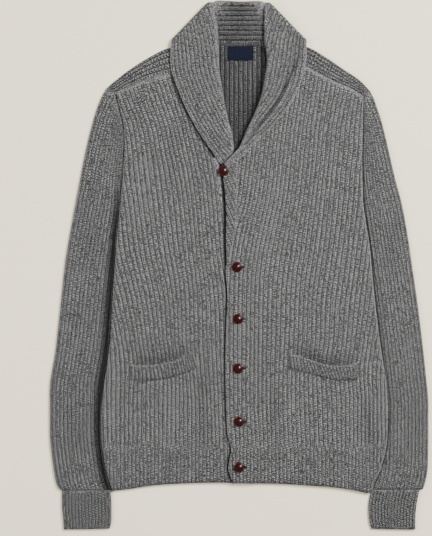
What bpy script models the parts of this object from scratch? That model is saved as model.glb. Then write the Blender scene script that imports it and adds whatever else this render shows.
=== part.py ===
"""Shawl collar cardigan in rib knit, laid flat on its back with its fronts up.

X runs across the chest towards the wearer's left, Y from the hem to the collar
and Z up from the surface that the cardigan lies on. Tables are in millimetres.
"""

import math

import bmesh
import bpy
import numpy as np
from mathutils import Vector

MM = 0.001

# Cloth
WALL = 2.2            # the knit between its ribs
RIB_RISE = 1.3        # how far a rib stands out
SEAM_GAP = 0.3        # between two pieces that are sewn together
BACK_TOP = 2.4        # the back's upper face
BACK_RIM = 3.3        # its side edges, turned up to the fronts
FRONT_LEVEL = 3.6     # the fronts' plain undersides
LAP_LIFT = 2.5        # how far the left front climbs to lie on the right one
LAP_FLAT_X = 14.0     # the climb's two ends, across the front
LAP_FOOT_X = 40.0

# Buttons
BUTTON_WIDTH = 16.6
BUTTON_HEIGHT = 6.2
SHANK_WIDTH = 4.4
BUTTONHOLE = (15.0, 5.2)


class Table:
    """A short table with named columns, read as smooth curves through its rows."""

    def __init__(self, names, *rows):
        self.names = names.split()
        self.rows = np.array(rows, float)
        self.slopes = {}

    def __getitem__(self, name):
        return self.rows[:, self.names.index(name)]

    def at(self, knots, place, key="row"):
        """All columns at a place among the knots, one knot for each row."""
        if key not in self.slopes:
            steps = np.diff(self.rows, axis=0) / np.diff(knots)[:, None]
            limit = 2 * np.minimum(abs(steps[1:]), abs(steps[:-1]))
            inner = np.clip((steps[1:] + steps[:-1]) / 2, -limit, limit)
            self.slopes[key] = np.vstack((steps[0], inner, steps[-1]))
        slopes = self.slopes[key]
        place = min(max(place, knots[0]), knots[-1])
        row = min(max(int(np.searchsorted(knots, place)) - 1, 0), len(knots) - 2)
        span = knots[row + 1] - knots[row]
        t = (place - knots[row]) / span
        return (self.rows[row] * (1 + 2 * t) * (1 - t) ** 2 + slopes[row] * span * t * (1 - t) ** 2
                + self.rows[row + 1] * t * t * (3 - 2 * t)
                - slopes[row + 1] * span * t * t * (1 - t))

    def read(self, key, place, name):
        """One column where another has a given value."""
        return float(self.at(self[key], place, key)[self.names.index(name)])

    def station(self, place):
        """Every column by name, at a place counted in rows from 0."""
        return dict(zip(self.names, self.at(np.arange(len(self.rows)), place)))


BODY = Table(
    "height right left",
    (-361, -202, 210), (-338, -210, 221), (-306, -217, 232), (-265, -221, 238),
    (-214, -219, 238), (-121, -207, 226), (-38, -202, 216), (44, -196, 208),
    (98, -191, 199), (164, -185, 197.5), (217, -183.7, 198.2), (258, -192.6, 199.2),
    (281, -197.6, 199.5))

HEM = Table(
    "across height",
    (-218, -361), (-174, -356), (-142, -351), (-102, -348), (-38, -346), (2, -347),
    (66, -348), (114, -351), (154, -354), (181, -358), (211, -364))

SHOULDER = Table(
    "across height",
    (-200, 277), (-190, 282), (-167, 292), (-142, 301), (-112, 307.5), (-94, 312),
    (94, 322), (109, 319), (139, 303.5), (163, 292.5), (182, 284), (200, 273))

# The back's upper edge, past the shoulders and up to the collar's seam
BACK_NECK = Table(
    "across height",
    (-198, 277), (-186, 283.5), (-167, 291.5), (-142, 300.5), (-112, 306), (-97, 309),
    (-91, 326), (-85.5, 343), (-76, 352.6), (-58, 356.4), (2, 357.6), (61, 356.4), (77, 352.6),
    (87, 343), (94, 326), (100, 315), (112, 313.5), (139, 302.5), (163, 291.5), (182, 283),
    (198, 273))
BACK_RIBS = 12        # raised only where the neck shows them
BACK_PITCH = 7.4
BACK_COLUMNS = {
    "right": (0.0, 0.04, 0.3, 0.5, 0.633, 0.672, 0.709, 0.771, 0.89),
    "left": (0.0, 0.04, 0.3, 0.5, 0.648, 0.688, 0.735, 0.802, 0.909)}

# The left front laps over the right one. Its edge follows the opening up to
# the foot of the collar's seam, and then that seam.
LEFT_EDGE = Table(
    "height across",
    (-358, -5), (-335, -13), (-322, -16), (-310, -14), (-295, -11), (-284, -12),
    (-272, -16), (-250, -18), (-160, -20), (-102, -19), (-42, -17), (-4, -19.5),
    (14, -16), (42, -11), (74, -6), (106, -5), (138, -5), (172, -3))
LEFT_NECK = Table(
    "height across",
    (170, -3), (183, 3), (198, 18), (220, 40), (250, 67), (282, 88), (322, 99))
RIGHT_NECK = Table(
    "height across",
    (-5, 6), (26, -12), (66, -23.5), (98, -29.4), (110, -31.5), (150, -36.4), (186, -42.2),
    (204, -45.9), (222, -51), (241, -62), (279, -83), (320, -96))

# How the ribs run: where ribs of these numbers stand at each height
FRONT_ROWS = (6, 4)          # below and above the right front's underarm and neck
RIGHT_LONG = (7.5, 25.5)     # its ribs between these reach past those heights
RIGHT_TURN = (190, 98)
RIGHT_RIBS = (-8, 0, 6, 12, 18, 24, 29)
RIGHT_RUN = Table(
    "height rib_8_out rib_0 rib_6 rib_12 rib_18 rib_24 rib_29",
    (-350, -205.5, -163, -131, -101, -59, -19, 13),
    (-294, -217.6, -168, -135, -102, -58, -18, 15),
    (-214, -218.5, -171, -136, -102, -61, -20, 14),
    (-118, -233, -181, -141, -102, -66, -25, 10),
    (-54, -247, -192, -149, -106, -67, -26, 9),
    (26, -264, -210, -166, -118, -75, -34, 0),
    (106, -278, -226, -178, -130, -83, -42, -7),
    (186, -291, -238, -189, -143, -96, -53, -19),
    (266, -312, -259, -205, -155, -112, -72, -38),
    (346, -338, -285, -230, -174, -130, -91, -58))
LEFT_RIBS = (-2, 3, 9, 15, 21, 27, 33)
LEFT_RUN = Table(
    "height rib_2_out rib_3 rib_9 rib_15 rib_21 rib_27 rib_33",
    (-350, -13, 18, 54, 98, 134, 171, 208),
    (-294, -13, 19, 56, 103, 141, 181, 221),
    (-214, -16, 16, 56, 103, 141, 184, 227),
    (-118, -18, 18, 60, 102, 144, 186, 227),
    (-54, -16, 19, 59, 104, 147, 194, 237),
    (26, -14, 26, 67, 114, 158, 205, 248),
    (106, -5, 38, 81, 123, 166, 214, 259),
    (186, 2, 48, 90, 131, 174, 222, 267),
    (266, 12, 60, 101, 142, 179, 229, 274),
    (346, 22, 72, 110, 150, 189, 238, 283))

# Sleeves, from the armhole to the wrist: the outer fold, the bend where the
# saddle's seam meets the armhole, and the inner fold
RIGHT_SLEEVE = Table(
    "outer_x outer_y bend_x bend_y inner_x inner_y",
    (-215.1, 282.7, -198.6, 278.2, -184.8, 217), (-225, 260, -208, 247, -185.8, 193),
    (-235, 228, -216, 214, -186.9, 164), (-246, 183, -226, 170, -190, 126),
    (-258, 122, -235, 113, -194, 87), (-267, 74, -245, 70, -198, 42),
    (-278, 10, -256, 9, -201.4, -6), (-286, -62, -262, -62, -205.6, -66),
    (-294, -134, -269, -134, -210.4, -134), (-303.5, -201, -277, -201, -219, -198),
    (-303.5, -262, -278, -262, -222.8, -258), (-299, -313, -277, -313, -219, -306),
    (-293, -348, -270, -348, -209.8, -346), (-286, -359, -266, -359, -205, -358))
LEFT_SLEEVE = Table(
    "outer_x outer_y bend_x bend_y inner_x inner_y",
    (214.1, 276.7, 200.1, 273.7, 199.6, 217), (228, 236, 215, 228, 199.8, 186),
    (239, 192, 222, 184, 199.9, 151), (250, 144, 230, 138, 201, 110),
    (262, 98, 241, 95, 205.4, 71), (272, 42, 249, 39, 212.4, 23),
    (279, -6, 255, -7, 216.8, -22), (286, -54, 262, -54, 221.4, -66),
    (294, -118, 268, -118, 228.9, -126), (300, -174, 276, -174, 235.7, -178),
    (304, -222, 281, -222, 240.6, -226), (304, -270, 281, -270, 239.6, -274),
    (303, -322, 279, -322, 230.4, -319), (296, -357, 272, -357, 213.5, -357))
RIGHT_CUFF = Table(
    "outer_x outer_y inner_x inner_y",
    (-285, -359.3, -204.5, -358.3), (-285, -382, -203, -382),
    (-283, -406, -203, -406), (-282, -421.5, -206, -420))
LEFT_CUFF = Table(
    "outer_x outer_y inner_x inner_y",
    (291, -357.3, 211, -357.3), (286, -382, 206.5, -382),
    (284, -406, 207.5, -406), (284, -421.5, 211, -420))

# Saddles, from the neck to the sleeve: the seam with the front, and the fold
RIGHT_SADDLE = Table(
    "seam_x seam_y fold_x fold_y",
    (-97.5, 312, -90, 345), (-112, 308, -113, 350), (-142, 301.5, -146, 334),
    (-167, 292.5, -173, 317), (-186, 284.5, -198, 298), (-198.5, 278.5, -215, 283))
LEFT_SADDLE = Table(
    "seam_x seam_y fold_x fold_y",
    (100, 321.5, 94, 345), (109, 319.5, 109, 352), (139, 304, 141, 334),
    (163, 293, 166, 317), (182, 284.5, 193, 299), (200, 274, 214, 277))

# Collar, from its foot on the right front, round the neck, to its foot on the
# left front. The turn is the way its fall faces: up on the fronts at 0 and 360,
# and down behind the neck at 180, with a fold on each shoulder where the strip
# goes round an arc. Radius is half the distance between fall and stand at the
# roll, and the two outs are where the edges lie from the middle, on the turn's
# side. The drops lower them, and rise says how late the stand comes to its seam.
COLLAR = Table(
    "seam_x seam_y roll_x roll_y free_x free_y turn centre arc radius seam_out free_out"
    " seam_drop free_drop rise crease neck_rib",
    (-37, 168, -17, 174, -29, 165, 0, 8.6, 0, 1.9, -3.6, 0.6, 0, 0, 1, 0, 0),
    (-40, 184, -14, 187, -41, 182, 0, 10.0, 0, 2.6, -5.3, -0.9, 0, 0, 1, 0, 0),
    (-44, 204, -11, 206, -57, 204, 0, 11.5, 0, 3.5, -6.8, -2.4, 0, 0, 1, 0, 0),
    (-60.8, 241, -20, 241, -79, 241, 0, 13.5, 0, 4.6, -8.8, -4.5, 0, 0, 1, 0, 0),
    (-81.8, 279, -27, 279, -96, 279, 0, 14.5, 0, 5.0, -9.8, -5.5, 0, 0, 1, 0, 0),
    (-93.5, 319, -33, 324, -109, 318, 0, 14.5, 0, 5.0, -9.8, -5.4, 0, 0, 1, 0, 0),
    (-90.5, 332, -34, 366, -110, 337, 0, 13.0, 0, 3.6, -8.3, -3.6, 0, 0, 1.2, 0, 0),
    (-88.5, 341, -41, 412, -108, 357, 0, 7.2, 3.6, 2, -1.85, -0.1, 4.25, 2.1, 5, 0, 0),
    (-88, 344, -41, 413, -108, 358, 45, 7.2, 3.6, 2, -1.85, -0.1, 4.25, 2.1, 5, 0, 0),
    (-87, 346.5, -41, 414, -108, 359, 90, 7.2, 3.6, 2, -1.85, -0.1, 4.25, 2.1, 5, 0, 0),
    (-85.5, 348, -40.5, 415, -107, 360, 135, 7.2, 3.6, 2, -1.85, -0.1, 4.25, 2.1, 5, 0, 0),
    (-83, 349.5, -40, 416, -105, 361, 180, 7.2, 3.6, 2, -1.85, -0.1, 4.25, 2.1, 5, 0, 0),
    (-76, 354.2, -33, 419, -88, 368, 180, 3.6, 0, 2, 2.4, 2, 0, 0, 8, 0, 0.1),
    (-58, 357.6, -16, 420, -56, 374, 180, 3.6, 0, 2, 2.4, 2, 0, 0, 8, 0, 0.7),
    (2, 358.6, 2, 420, 2, 375, 180, 3.6, 0, 2, 2.4, 2, 0, 0, 8, 0, 1),
    (61, 357.6, 20, 420, 59, 374, 180, 3.6, 0, 2, 2.4, 2, 0, 0, 8, 0, 0.7),
    (77, 354.2, 33, 419, 88, 368, 180, 3.6, 0, 2, 2.4, 2, 0, 0, 8, 0, 0.1),
    (83.5, 349.5, 40, 416, 105, 361, 180, 7.2, 3.6, 2, -1.85, -0.1, 4.25, 2.1, 5, 0, 0),
    (86, 348, 40.5, 415, 107, 360, 225, 7.2, 3.6, 2, -1.85, -0.1, 4.25, 2.1, 5, 0, 0),
    (87.5, 346.5, 41, 414, 108, 359, 270, 7.2, 3.6, 2, -1.85, -0.1, 4.25, 2.1, 5, 0, 0),
    (89, 344.3, 41, 413, 108, 358, 315, 7.2, 3.6, 2, -1.85, -0.1, 4.25, 2.1, 5, 0, 0),
    (89.8, 341.3, 41, 412, 108, 357, 360, 7.2, 3.6, 2, -1.85, -0.1, 4.25, 2.1, 5, 0, 0),
    (94, 332, 41, 366, 108, 340, 360, 13.0, 0, 3.6, -8.3, -3.6, 0, 0, 1.2, 1.2, 0),
    (97, 321, 45, 330, 106, 320, 360, 15.0, 0, 5.0, -10.3, -5.9, 0, 0, 1, 2.6, 0),
    (86.8, 282, 38, 281, 96, 286, 360, 15.0, 0, 5.0, -10.3, -6.0, 0, 0, 1, 2.6, 0),
    (65.5, 250, 29, 253, 77, 251, 360, 14.0, 0, 4.6, -9.3, -5.0, 0, 0, 1, 2.4, 0),
    (38.8, 221, 14, 220, 51, 221, 360, 12.8, 0, 3.8, -8.0, -3.4, 0, 0, 1, 1.6, 0),
    (16, 200, 1, 199, 25, 194, 360, 11.8, 0, 2.6, -4.6, -1.2, 0, 0, 1, 0.6, 0),
    (9, 190, -3, 185, 9, 177, 360, 11.6, 0, 1.9, -4.4, 0, 0, 0, 1, 0, 0))
COLLAR_FALL_RIBS = 10
COLLAR_STAND_RIBS = 8
COLLAR_STEPS = (2, 2, 2, 1, 1, 2, 2, 2, 2, 2, 2, 2, 1, 1)    # rows for each station

# The collar's tapered ends, below its roll: the seam and the free edge
LEFT_END = Table(
    "height seam free",
    (4, -18.9, -19.6), (42, -13.5, -20.8), (74, -9, -20.6), (106, -7.5, -21.6),
    (138, -7, -24.6), (164, -6, -27))
RIGHT_END = Table(
    "height seam free",
    (4, 1.8, 6.6), (26, -10.5, 3.5), (66, -22, 0), (98, -28, -2.3), (130, -33, -6),
    (160, -36.5, -14))

RIGHT_WELT = Table(
    "top_x top_y foot_x foot_y",
    (-175, -157, -176, -183), (-152, -158.5, -150, -183.5), (-128, -156, -123, -181),
    (-106, -151, -101, -176), (-88, -143, -82, -169), (-73, -134, -66, -160))
LEFT_WELT = Table(
    "top_x top_y foot_x foot_y",
    (78, -140, 80, -165), (98, -143.5, 103, -170), (117, -150, 126, -176),
    (137, -156, 146, -181), (158, -158.5, 165, -183), (179, -157, 181, -183),
    (194, -151, 191, -181))
WELT_RIBS = 18

BUTTONS = Table(
    "across height",
    (-24.8, 153), (-3.4, -1), (-1.6, -84), (-1.6, -163), (0, -248), (0.3, -321))
LABEL = {"left": -18, "right": 23, "foot": 330, "top": 353, "thick": 0.5}


def ease(low, high, value):
    """0 below low, 1 above high, and a soft step between them."""
    t = min(max((value - low) / (high - low), 0.0), 1.0)
    return t * t * (3 - 2 * t)


def finish(name, colour, roughness):
    """A plain material with the piece's colour."""
    material = bpy.data.materials.new(name)
    material.use_nodes = True
    shader = material.node_tree.nodes["Principled BSDF"]
    shader.inputs["Base Color"].default_value = (*colour, 1)
    shader.inputs["Roughness"].default_value = roughness
    shader.inputs["Metallic"].default_value = 0
    return material


def add_object(name, form, material):
    """Turn a closed bmesh into a named object with its faces outwards."""
    bmesh.ops.recalc_face_normals(form, faces=form.faces)
    mesh = bpy.data.meshes.new(name)
    form.to_mesh(mesh)
    form.free()
    mesh.materials.append(material)
    mesh.shade_smooth()
    mesh.set_sharp_from_angle(angle=math.radians(50))
    piece = bpy.data.objects.new(name, mesh)
    bpy.context.collection.objects.link(piece)
    return piece


def wall(name, outer, inner, material, closed=False):
    """A cloth wall between two grids of points, each a list of columns.

    The inner grid has every second column of the outer one, so that ribs are
    raised over a plain inside. Closed grids make a tube. Where columns of two
    lengths meet, the longer one's side is closed above the shorter one.
    """
    form = bmesh.new()
    face, lining = [[[form.verts.new(Vector(point) * MM) for point in column] for column in grid]
                    for grid in (outer, inner)]
    for grid in (face, lining):
        neighbours = grid[1:] + grid[:1] if closed else grid[1:]
        for one, two in zip(grid, neighbours):
            for row in range(min(len(one), len(two)) - 1):
                form.faces.new((one[row], two[row], two[row + 1], one[row + 1]))

    def close_side(column, first):
        above, below = face[2 * column], lining[column]
        for row in range(first, len(below) - 1):
            form.faces.new((above[row], above[row + 1], below[row + 1], below[row]))

    for count in range(len(lining) if closed else len(lining) - 1):
        following = (count + 1) % len(lining)
        here, there = lining[count], lining[following]
        shared = min(len(here), len(there)) - 1
        for row in (0, shared):
            crest = face[2 * count + 1][row]
            form.faces.new((here[row], face[2 * count][row], crest))
            form.faces.new((here[row], crest, face[2 * following][row], there[row]))
        close_side(count if len(here) > len(there) else following, shared)
    if not closed:
        close_side(0, 0)
        close_side(len(lining) - 1, 0)
    return add_object(name, form, material)


def rib_height(count):
    """Odd columns are the crests of ribs, and even ones the furrows."""
    return RIB_RISE * (count % 2)


def lap_lift(across):
    """How far the left front is lifted by the right front under it."""
    return LAP_LIFT * (1 - ease(LAP_FLAT_X, LAP_FOOT_X, across))


def rib_across(side, number, height):
    """Where a rib stands at a height on a front."""
    numbers, run = (RIGHT_RIBS, RIGHT_RUN) if side == "right" else (LEFT_RIBS, LEFT_RUN)
    stands = run.at(run["height"], height)[1:]
    row = min(max(int(np.searchsorted(numbers, number)) - 1, 0), len(numbers) - 2)
    part = (number - numbers[row]) / (numbers[row + 1] - numbers[row])
    slopes = np.gradient(stands, numbers) * (numbers[row + 1] - numbers[row])
    across = (stands[row] * (1 + 2 * part) * (1 - part) ** 2 + slopes[row] * part * (1 - part) ** 2
              + stands[row + 1] * part * part * (3 - 2 * part)
              - slopes[row + 1] * part * part * (1 - part))
    if side == "left":
        wave = LEFT_EDGE.read("height", height, "across") - stands[0]
        across += wave * math.exp(-(number - LEFT_RIBS[0]) / 2.5)
    return float(across)


def opening_edge(height):
    """The free edge that lies on the right front: the left front's or its collar end's."""
    if height > LEFT_END["height"][0]:
        return LEFT_END.read("height", height, "free")
    return LEFT_EDGE.read("height", height, "across")


def inside_front(side, across, height):
    """Whether a point lies within a front's side, shoulder and neck seams."""
    if height > SHOULDER.read("across", across, "height") - SEAM_GAP:
        return False
    border = BODY.read("height", height, side)
    if side == "right":
        neck = RIGHT_NECK.read("height", height, "across")
        return across > border and (height < RIGHT_NECK["height"][0] or across < neck - SEAM_GAP)
    neck = LEFT_NECK.read("height", height, "across")
    return across < border and (height < LEFT_NECK["height"][0] or across > neck + SEAM_GAP)


def rib_line(side, number):
    """A rib's points from the hem or the side to where it meets a seam or the side."""
    foot = HEM.read("across", rib_across(side, number, HEM["height"][0]), "height")
    while not inside_front(side, rib_across(side, number, foot), foot):
        foot += 1.0
    top, stride = foot, 4.0
    while inside_front(side, rib_across(side, number, top + stride), top + stride):
        top += stride
    while stride > 0.1:
        stride /= 2
        if inside_front(side, rib_across(side, number, top + stride), top + stride):
            top += stride
    below, above = FRONT_ROWS
    if side == "right" and not RIGHT_LONG[0] <= number <= RIGHT_LONG[1]:
        heights = np.linspace(foot, top, below)
    else:
        turn = foot + 0.66 * (top - foot)
        if side == "right":
            turn = np.interp(number, RIGHT_LONG, RIGHT_TURN)
        heights = (*np.linspace(foot, turn, below), *np.linspace(turn, top, above)[1:])
    return [(rib_across(side, number, height), float(height)) for height in heights]


def side_distance(side, across, height):
    return abs(BODY.read("height", height, side) - across)


def pocket_sag(side, across, height):
    """How far a front sinks in the mouth of its pocket, above the welt."""
    welt = RIGHT_WELT if side == "right" else LEFT_WELT
    if not welt["top_x"][0] < across < welt["top_x"][-1]:
        return 0.0
    above = height - welt.read("top_x", across, "top_y")
    middle = math.sin(math.pi * (across - welt["top_x"][0]) / (welt["top_x"][-1] - welt["top_x"][0]))
    return 1.1 * middle * ease(-8, 0, above) * (1 - ease(3, 24, above))


def front_levels(side, across, height, count):
    """The upper and under levels of a front at one of its columns."""
    under = FRONT_LEVEL
    rise = rib_height(count)
    if side == "left":
        under += lap_lift(across)
    else:
        lap_edge = opening_edge(height)
        rise *= 1 - ease(lap_edge - 16, lap_edge - 8, across)
    rounding = ease(0, 7, side_distance(side, across, height))
    upper = under + WALL - pocket_sag(side, across, height) + rise * rounding
    return upper - 0.9 * (1 - rounding), under


def make_front(name, side, first, last, material):
    """A front whose ribs follow their table from hem to shoulder."""
    lines = [rib_line(side, number) for number in np.arange(first, last + 0.25, 0.5)]
    for one, between, two in zip(lines[::2], lines[1::2], lines[2::2]):
        for end in (0, len(between) - 1):
            between[end] = tuple((np.array(one[end]) + two[end]) / 2)
    upper = [[(x, y, front_levels(side, x, y, count)[0]) for x, y in line]
             for count, line in enumerate(lines)]
    under = [[(x, y, front_levels(side, x, y, 0)[1]) for x, y in line] for line in lines[::2]]
    return wall(name, upper, under, material)


def back_column(side, part, rib, share):
    """A point of the back: part of the way from its side edge to a rib, by height."""
    middle = (0.5 * rib - 0.5 * BACK_RIBS) * BACK_PITCH + 3
    inset = 1.2 if side == "right" else -1.2
    across, height = middle, 0.0
    for _ in range(4):
        if part is not None:
            edge = BODY.read("height", height, side) + inset
            across = edge + (middle - edge) * part
        foot = HEM.read("across", across, "height") + 0.5
        height = foot + (back_top(across) - foot) * share
    return across, height


def make_back(material):
    """The back: plain, with ribs raised only where the neck shows them."""
    rows = 10
    last_rib = 2 * BACK_RIBS
    columns = [("right", part, 0) for part in BACK_COLUMNS["right"]]
    columns += [("right", None, rib) for rib in range(last_rib + 1)]
    columns += [("left", part, last_rib) for part in reversed(BACK_COLUMNS["left"])]
    upper = []
    for count, (side, part, rib) in enumerate(columns):
        points = []
        for row in range(rows):
            across, height = back_column(side, part, rib, row / (rows - 1))
            level = BACK_TOP
            if part is None:
                level += 0.8 * ease(120, 190, height) * (rib % 2)
            if count in (0, len(columns) - 1):
                level = BACK_RIM
            points.append((across, height, level))
        upper.append(points)
    under = [[(x, y, 0.0) for x, y, _ in column] for column in upper[::2]]
    return wall("back", upper, under, material)


def back_top(across):
    return float(np.interp(across, BACK_NECK["across"], BACK_NECK["height"])) - SEAM_GAP


def along_ring(section, part):
    """A point on a ring's line, from the outer fold by the bend to the inner one."""
    outer = np.array((section["outer_x"], section["outer_y"]))
    inner = np.array((section["inner_x"], section["inner_y"]))
    bend = (outer + inner) / 2
    if "bend_x" in section:
        bend = np.array((section["bend_x"], section["bend_y"]))
    first, second = np.linalg.norm(bend - outer), np.linalg.norm(inner - bend)
    reach = part * (first + second)
    if reach < first:
        return outer + (bend - outer) * reach / first
    return bend + (inner - bend) * (reach - first) / second


def make_tube(name, rings, ribs, rows, height, material):
    """A sleeve or cuff laid flat: ribs on its upper face and its folds."""
    outer_columns, inner_columns = [], []
    margin = 0.05
    top = [(margin + (1 - 2 * margin) * i / (2 * ribs), height - RIB_RISE + rib_height(i), True)
           for i in range(2 * ribs + 1)]
    bottom_points = 9
    bottom = [(1 - margin - (1 - 2 * margin) * i / (bottom_points - 1), 0.0, False)
              for i in range(bottom_points)]
    profile = top + [(1.0, 0.45 * height, None)] + bottom + [(0.0, 0.45 * height, None)]
    stations = [rings.station(at) for at in np.linspace(0, len(rings.rows) - 1, rows)]
    for count, (part, level, upper) in enumerate(profile):
        places = [along_ring(section, part) for section in stations]
        outer_columns.append([(x, y, level) for x, y in places])
        if count % 2 == 0:
            lining = height - RIB_RISE - WALL if upper else WALL
            inner_part = min(max(part, 0.07), 0.93)
            places = [along_ring(section, inner_part) for section in stations]
            inner_columns.append([(x, y, lining) for x, y in places])
    return wall(name, outer_columns, inner_columns, material, closed=True)


def make_saddle(name, rows, material):
    """The strip on the shoulder, folded over it from the front to the back."""
    ribs = 4
    height = 7.1
    top = [(0.9 * i / (2 * ribs), height - RIB_RISE + rib_height(i)) for i in range(2 * ribs + 1)]
    profile = top + [(0.98, 5.2), (1.0, 3.2), (0.98, 1.0), (0.9, 0.0), (0.45, 0.0), (0.0, 0.0)]
    stations = [rows.station(at) for at in np.linspace(0, len(rows.rows) - 1, 9)]
    outer, inner = [], []
    for count, (part, level) in enumerate(profile):
        column, lining = [], []
        for section in stations:
            seam = np.array((section["seam_x"], section["seam_y"]))
            fold = np.array((section["fold_x"], section["fold_y"]))
            width = np.linalg.norm(fold - seam)
            column.append((*(seam + (fold - seam) * part), level))
            inner_part = min(part, 1 - 2.6 / width)
            inner_level = FRONT_LEVEL if count < len(top) else 3.0 if count < len(top) + 2 else 2.2
            lining.append((*(seam + (fold - seam) * inner_part), inner_level))
        outer.append(column)
        if count % 2 == 0:
            inner.append(lining)
    return wall(name, outer, inner, material)


def collar_frame(section):
    """A station's directions: from the seam to the roll, and outwards."""
    seam = np.array((section["seam_x"], section["seam_y"], 0))
    roll = np.array((section["roll_x"], section["roll_y"], 0))
    free = np.array((section["free_x"], section["free_y"], 0))
    stand, fall = np.linalg.norm(roll - seam), np.linalg.norm(roll - free)
    rise, drop = (roll - seam) / stand, (roll - free) / fall
    turn = math.radians(section["turn"])
    across = np.array((-rise[1], rise[0], 0))
    outwards = across * math.sin(turn) + np.array((0, 0, math.cos(turn)))
    return roll, rise, drop, outwards, stand, fall


def collar_centre(section, reach):
    """A point of the wall's middle, at a distance from the collar's free edge."""
    roll, rise, drop, outwards, stand, fall = collar_frame(section)
    radius = section["radius"]
    middle = roll + outwards * section["arc"] + np.array((0, 0, section["centre"]))
    if reach < fall - radius:
        part = reach / (fall - radius)
        crease = section["crease"] * math.exp(-((part - 0.42) / 0.12) ** 2)
        out = section["free_out"] + (radius - section["free_out"]) * ease(0, 1.25, part) / 0.896
        lower = np.array((0, 0, section["free_drop"] * (1 - part)))
        return middle - drop * (fall - reach) + outwards * (out - crease) - lower
    if reach < fall + radius:
        angle = math.pi * (reach - fall + radius) / (2 * radius)
        heading = (rise + drop) / 2
        return (middle - heading * radius * (1 - math.sin(angle))
                + outwards * radius * math.cos(angle))
    part = ((reach - fall - radius) / (stand - radius)) ** section["rise"]
    out = -radius + (section["seam_out"] + radius) * part
    return (middle - rise * (reach - fall) + outwards * out
            - np.array((0, 0, section["seam_drop"] * part)))


def collar_point(section, count, ribbed):
    """A point of one of the collar's columns, on its ribbed face or its plain one."""
    _, rise, _, outwards, stand, fall = collar_frame(section)
    roll_column, last_column = 2 * COLLAR_FALL_RIBS, 2 * COLLAR_STAND_RIBS
    if count <= roll_column:
        step = fall / roll_column
        reach = count * step
    else:
        step = stand / last_column
        reach = fall + (count - roll_column) * step
    ahead = collar_centre(section, min(reach + 0.4, fall + stand))
    behind = collar_centre(section, max(reach - 0.4, 0))
    run = ahead - behind
    along, out = float(run @ rise), float(run @ outwards)
    facing = (outwards * along - rise * out) / math.hypot(along, out)
    lift = -WALL / 2
    if ribbed:
        shown = section["neck_rib"] if count > roll_column else 1.0
        lift = WALL / 2 + rib_height(count) * shown * min(1.0, step / 3.2)
    point = collar_centre(section, reach) + facing * lift
    if point[2] < 0.7:
        point[2] = 0.0
    return tuple(point)


def make_collar(material):
    """The collar: a strip folded along its roll, its ribs along its length."""
    steps = COLLAR_STEPS + COLLAR_STEPS[::-1]
    places = [at + part / step for at, step in enumerate(steps) for part in range(step)]
    stations = [COLLAR.station(at) for at in (*places, len(steps))]
    columns = range(2 * (COLLAR_FALL_RIBS + COLLAR_STAND_RIBS) + 1)
    face = [[collar_point(section, count, True) for section in stations] for count in columns]
    lining = [[collar_point(section, count, False) for section in stations]
              for count in columns[::2]]
    return wall("collar", face, lining, material)


def make_collar_end(name, rows, ribs, level, lifted, material):
    """A flat tapered end of the collar, sewn to a front below the roll."""
    columns = 2 * ribs + 1
    heights = rows["height"]
    upper, under = [], []
    for count in range(columns):
        part = count / (columns - 1)
        column, lining = [], []
        for row, height in enumerate(heights):
            across = rows["free"][row] + (rows["seam"][row] - rows["free"][row]) * part
            base = level + (lap_lift(across) if lifted else 0)
            column.append((across, height, base + WALL + (rib_height(count) if lifted else 0)))
            lining.append((across, height, base))
        upper.append(column)
        if count % 2 == 0:
            under.append(lining)
    return wall(name, upper, under, material)


def make_welt(name, side, rows, material):
    """A pocket's welt, lying on the front, with its ribs upright."""
    front_crest = FRONT_LEVEL + WALL + RIB_RISE
    bottom = front_crest + SEAM_GAP
    upper, under = [], []
    for count in range(2 * WELT_RIBS + 1):
        section = rows.station((len(rows.rows) - 1) * count / (2 * WELT_RIBS))
        foot = np.array((section["foot_x"], section["foot_y"]))
        top = np.array((section["top_x"], section["top_y"]))
        column = []
        for part, thick in ((0, 1.5), (0.12, 2.0), (0.88, 2.2), (1, 1.7)):
            x, y = foot + (top - foot) * part
            column.append((x, y, bottom + thick + 0.8 * rib_height(count) * (0 < part < 1)))
        upper.append(column)
        if count % 2 == 0:
            under.append([(x, y, bottom) for x, y, _ in column])
    return wall(name, upper, under, material)


def make_button(name, across, height, base, foot, material):
    """A domed button turned on its shank, from its own outline."""
    radius = BUTTON_WIDTH / 2
    outline = [
        (0, foot), (SHANK_WIDTH / 2, foot), (SHANK_WIDTH / 2, base + 0.2), (radius - 1.6, base),
        (radius - 0.3, base + 1.0), (radius, base + 2.1), (radius - 0.6, base + 3.2),
        (radius - 2.4, base + 4.6), (radius - 5.0, base + BUTTON_HEIGHT - 0.5),
        (0, base + BUTTON_HEIGHT)]
    form = bmesh.new()
    points = [form.verts.new(Vector((x, 0, z)) * MM) for x, z in outline]
    edges = [form.edges.new(pair) for pair in zip(points, points[1:])]
    bmesh.ops.spin(form, geom=points + edges, cent=(0, 0, 0), axis=(0, 0, 1),
                   angle=2 * math.pi, steps=12, use_merge=True, use_duplicate=False)
    bmesh.ops.remove_doubles(form, verts=form.verts, dist=0.00001)
    bmesh.ops.translate(form, verts=form.verts, vec=Vector((across, height, 0)) * MM)
    return add_object(name, form, material)


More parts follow.
